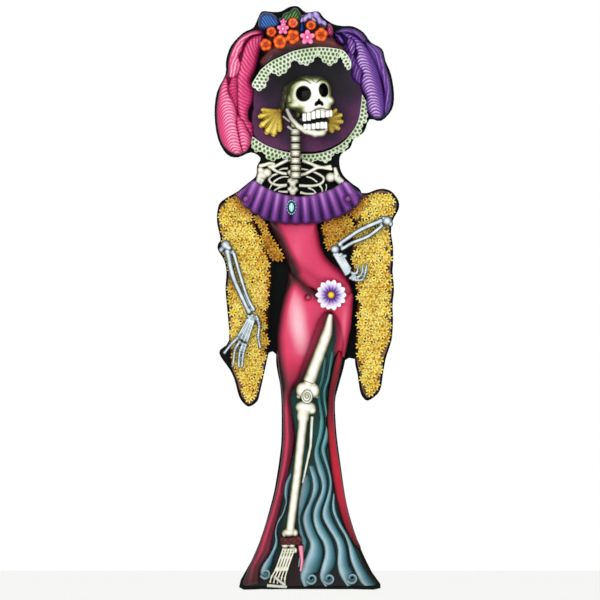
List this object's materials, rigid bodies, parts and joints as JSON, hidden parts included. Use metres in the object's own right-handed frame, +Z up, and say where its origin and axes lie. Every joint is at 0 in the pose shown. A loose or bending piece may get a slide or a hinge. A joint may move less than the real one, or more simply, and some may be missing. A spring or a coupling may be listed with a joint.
{
  "type": "jointed papier-mache skeleton figure",
  "caption": "Wall-hung jointed papier-mache skeleton lady in relief, with a wide hat, pleated collar, flowered boa wings that swing at the shoulders and a skirt that swings at the hip.",
  "frame": {"origin": "centre of the hanger bore's mouth, on the wall plane", "axes": "+Z up, +X to the right as the viewer sees it, +Y into the wall; the front faces -Y"},
  "size_m": [0.3694, 0.106, 1.167],
  "materials": {
    "board_black": "matt black paint on laminated board",
    "felt": "wool felt",
    "pin_brass": "polished",
    "zinc": "zinc plated",
    "bone": "varnished painted papier-mache",
    "arm_bone": "varnished painted papier-mache",
    "brim": "varnished painted papier-mache",
    "crown": "varnished painted papier-mache",
    "lace": "varnished painted papier-mache",
    "feather_pink": "varnished painted papier-mache",
    "feather_purple": "varnished painted papier-mache",
    "leaf": "varnished painted papier-mache",
    "petal": "varnished painted papier-mache",
    "tulip": "varnished painted papier-mache",
    "rose": "varnished painted papier-mache",
    "pink_bloom": "varnished painted papier-mache",
    "shell_gold": "varnished gold paint",
    "collar": "varnished painted papier-mache",
    "setting": "varnished painted papier-mache",
    "stone": "polished opaque glass paste",
    "dress": "varnished painted papier-mache",
    "panel": "varnished painted papier-mache",
    "boa": "varnished painted papier-mache",
    "boa_shade": "varnished painted papier-mache",
    "teal_dark": "varnished painted papier-mache",
    "teal": "varnished painted papier-mache",
    "shoe": "varnished painted papier-mache",
    "daisy": "varnished painted papier-mache",
    "daisy_eye": "varnished painted papier-mache"
  },
  "bodies": {
    "root": {"body_board": "board_black", "hanger_bush": "pin_brass", "felt_pads": "felt", "left_shoulder_pin": "pin_brass", "right_shoulder_pin": "pin_brass", "hip_pin": "pin_brass", "board_washers": "zinc", "pin_nuts": "zinc", "hat_brim": "brim", "hat_crown": "crown", "upper_lace": "lace", "lower_lace": "lace", "pink_feather": "feather_pink", "purple_feather": "feather_purple", "hat_leaves": "leaf", "hat_petals": "petal", "hat_tulips": "tulip", "hat_rose": "rose", "hat_pink_flowers": "pink_bloom", "skull_cranium": "bone", "jaw": "bone", "upper_teeth": "bone", "lower_teeth": "bone", "left_earring": "shell_gold", "right_earring": "shell_gold", "neck_vertebrae": "bone", "clavicles": "bone", "shoulder_bones": "bone", "ribs": "bone", "sternum": "bone", "collar": "collar", "brooch_setting": "setting", "brooch_stone": "stone", "bodice": "dress"},
    "left_wing": {"left_wing_board": "board_black", "left_boa": "boa", "left_boa_inner": "boa_shade", "left_elbow": "arm_bone", "left_forearm": "arm_bone", "left_hand": "arm_bone"},
    "right_wing": {"right_wing_board": "board_black", "right_boa": "boa", "right_boa_shoulder": "boa", "right_boa_inner": "boa_shade", "right_elbow": "arm_bone", "right_forearm": "arm_bone", "right_hand": "arm_bone"},
    "skirt": {"skirt_board": "board_black", "skirt_dress": "dress", "side_panel": "panel", "underskirt": "teal_dark", "underskirt_locks": "teal", "femur": "bone", "kneecap": "bone", "shin_bones": "bone", "foot_bones": "bone", "shoe": "shoe", "hip_flower": "daisy", "hip_flower_centre": "daisy_eye"}
  },
  "joints": [
    {"name": "left_shoulder", "type": "hinge", "parent": "root", "child": "left_wing", "pos_m": [-0.122, -0.0155, -0.274], "axis": [0, 1, 0], "range_deg": [0, 75]},
    {"name": "right_shoulder", "type": "hinge", "parent": "root", "child": "right_wing", "pos_m": [0.082, -0.0155, -0.274], "axis": [0, -1, 0], "range_deg": [0, 60]},
    {"name": "hip", "type": "hinge", "parent": "root", "child": "skirt", "pos_m": [0.002, -0.0155, -0.471], "axis": [0, 1, 0], "range_deg": [-5, 5]}
  ]
}
